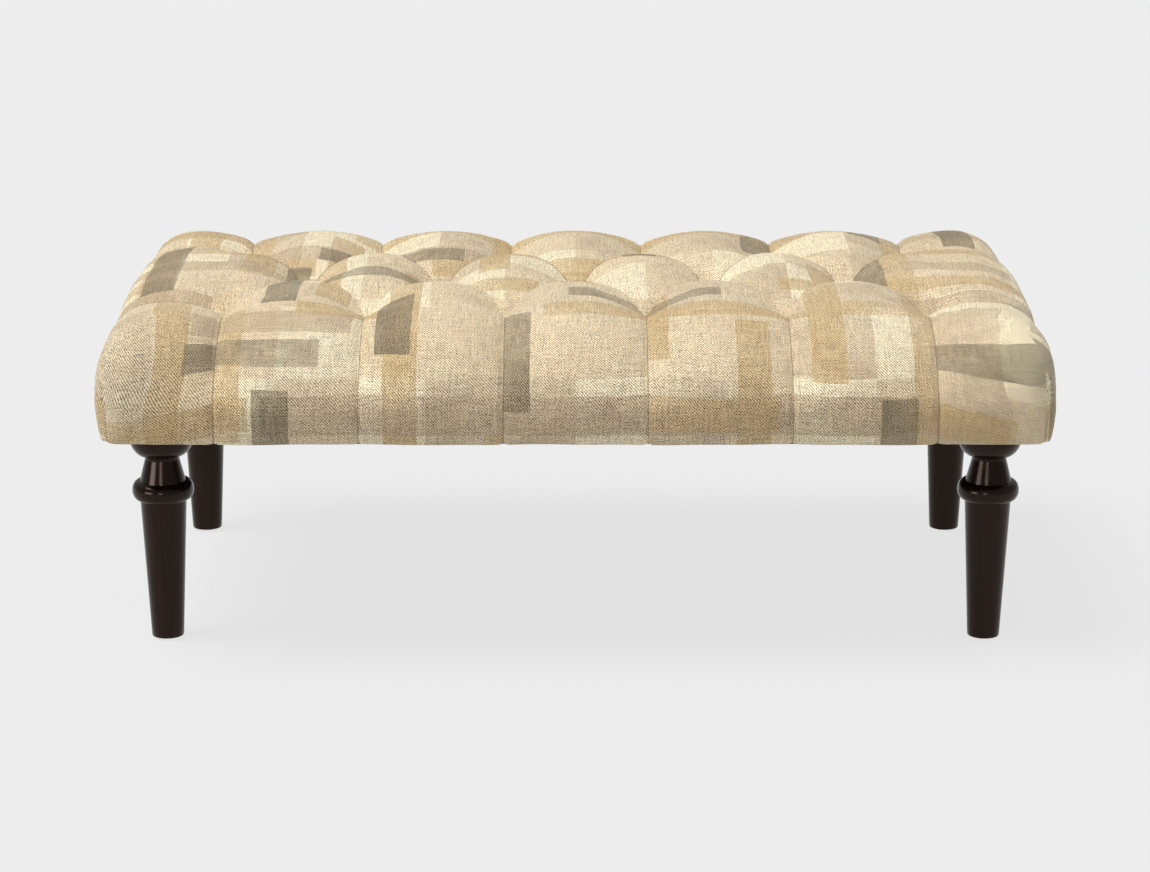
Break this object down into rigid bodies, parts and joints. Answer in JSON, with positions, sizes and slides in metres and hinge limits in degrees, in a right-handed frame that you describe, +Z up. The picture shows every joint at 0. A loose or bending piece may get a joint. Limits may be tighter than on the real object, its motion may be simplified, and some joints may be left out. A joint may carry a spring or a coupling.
{
  "type": "tufted footstool",
  "caption": "Long rectangular footstool with a diamond-tufted padded seat in printed fabric on turned dark wooden legs.",
  "frame": {"origin": "on the floor under the middle of the seat", "axes": "+X along the length of the seat, -Y towards the front, +Z up"},
  "size_m": [1.22, 0.734, 0.448],
  "materials": {
    "printed_linen": "woven linen look, printed in blocks of cream, sand, ochre and taupe",
    "polyester_wadding": "soft white fibre",
    "cushion_foam": "open-cell foam",
    "black_non_woven": "matte non-woven sheet",
    "deck_plywood": "raw plywood",
    "pine_rail": "planed softwood",
    "beech_dowel": "plain hardwood",
    "espresso_stain": "dark stain with satin lacquer",
    "zinc_plated_steel": "zinc plated",
    "glide_nylon": "moulded",
    "waxed_twine": "waxed"
  },
  "bodies": {
    "root": {"deck_panel": "deck_plywood", "dust_cover": "black_non_woven", "foam_pad": "cushion_foam", "front_left_glide": "glide_nylon", "front_left_hanger_bolt": "zinc_plated_steel", "front_left_leg": "espresso_stain", "front_left_leg_block": "pine_rail", "front_left_lower_dowel": "beech_dowel", "front_left_tee_nut": "zinc_plated_steel", "front_left_upper_dowel": "beech_dowel", "front_rail": "pine_rail", "front_right_glide": "glide_nylon", "front_right_hanger_bolt": "zinc_plated_steel", "front_right_leg": "espresso_stain", "front_right_leg_block": "pine_rail", "front_right_lower_dowel": "beech_dowel", "front_right_tee_nut": "zinc_plated_steel", "front_right_upper_dowel": "beech_dowel", "left_cross_rail": "pine_rail", "left_end_rail": "pine_rail", "rear_left_glide": "glide_nylon", "rear_left_hanger_bolt": "zinc_plated_steel", "rear_left_leg": "espresso_stain", "rear_left_leg_block": "pine_rail", "rear_left_lower_dowel": "beech_dowel", "rear_left_tee_nut": "zinc_plated_steel", "rear_left_upper_dowel": "beech_dowel", "rear_rail": "pine_rail", "rear_right_glide": "glide_nylon", "rear_right_hanger_bolt": "zinc_plated_steel", "rear_right_leg": "espresso_stain", "rear_right_leg_block": "pine_rail", "rear_right_lower_dowel": "beech_dowel", "rear_right_tee_nut": "zinc_plated_steel", "rear_right_upper_dowel": "beech_dowel", "right_cross_rail": "pine_rail", "right_end_rail": "pine_rail", "seat_cover": "printed_linen", "tuft_tie_front_1": "waxed_twine", "tuft_tie_front_2": "waxed_twine", "tuft_tie_front_3": "waxed_twine", "tuft_tie_front_4": "waxed_twine", "tuft_tie_front_5": "waxed_twine", "tuft_tie_front_6": "waxed_twine", "tuft_tie_middle_1": "waxed_twine", "tuft_tie_middle_2": "waxed_twine", "tuft_tie_middle_3": "waxed_twine", "tuft_tie_middle_4": "waxed_twine", "tuft_tie_middle_5": "waxed_twine", "tuft_tie_rear_1": "waxed_twine", "tuft_tie_rear_2": "waxed_twine", "tuft_tie_rear_3": "waxed_twine", "tuft_tie_rear_4": "waxed_twine", "tuft_tie_rear_5": "waxed_twine", "tuft_tie_rear_6": "waxed_twine", "wadding": "polyester_wadding"}
  },
  "joints": []
}
